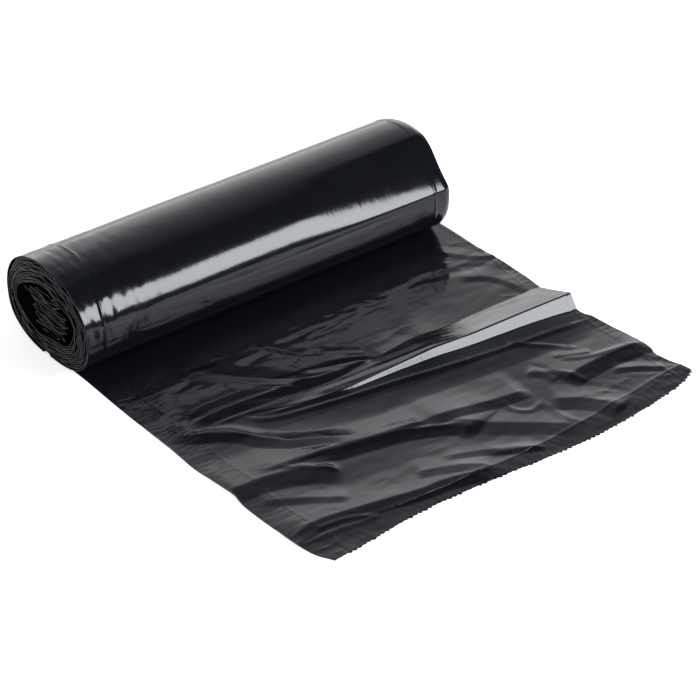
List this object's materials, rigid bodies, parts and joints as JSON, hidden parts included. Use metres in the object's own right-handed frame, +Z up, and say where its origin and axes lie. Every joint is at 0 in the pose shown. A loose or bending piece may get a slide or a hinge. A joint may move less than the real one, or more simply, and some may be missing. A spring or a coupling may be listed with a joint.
{
  "type": "bin bag roll",
  "caption": "Coreless roll of glossy black plastic bin bags, squashed to a soft oval, with its outer bag pulled out flat and creased in front of it.",
  "frame": {"origin": "on the floor under the roll's axis, midway along the roll", "axes": "+X along the roll to its right end, +Y to the back of the roll, -Y towards the pulled-out bag's torn edge, +Z up"},
  "size_m": [0.3, 0.3224, 0.0675],
  "materials": {
    "film": "glossy black polyethylene film"
  },
  "bodies": {
    "root": {"bag_roll": "film"}
  },
  "joints": []
}
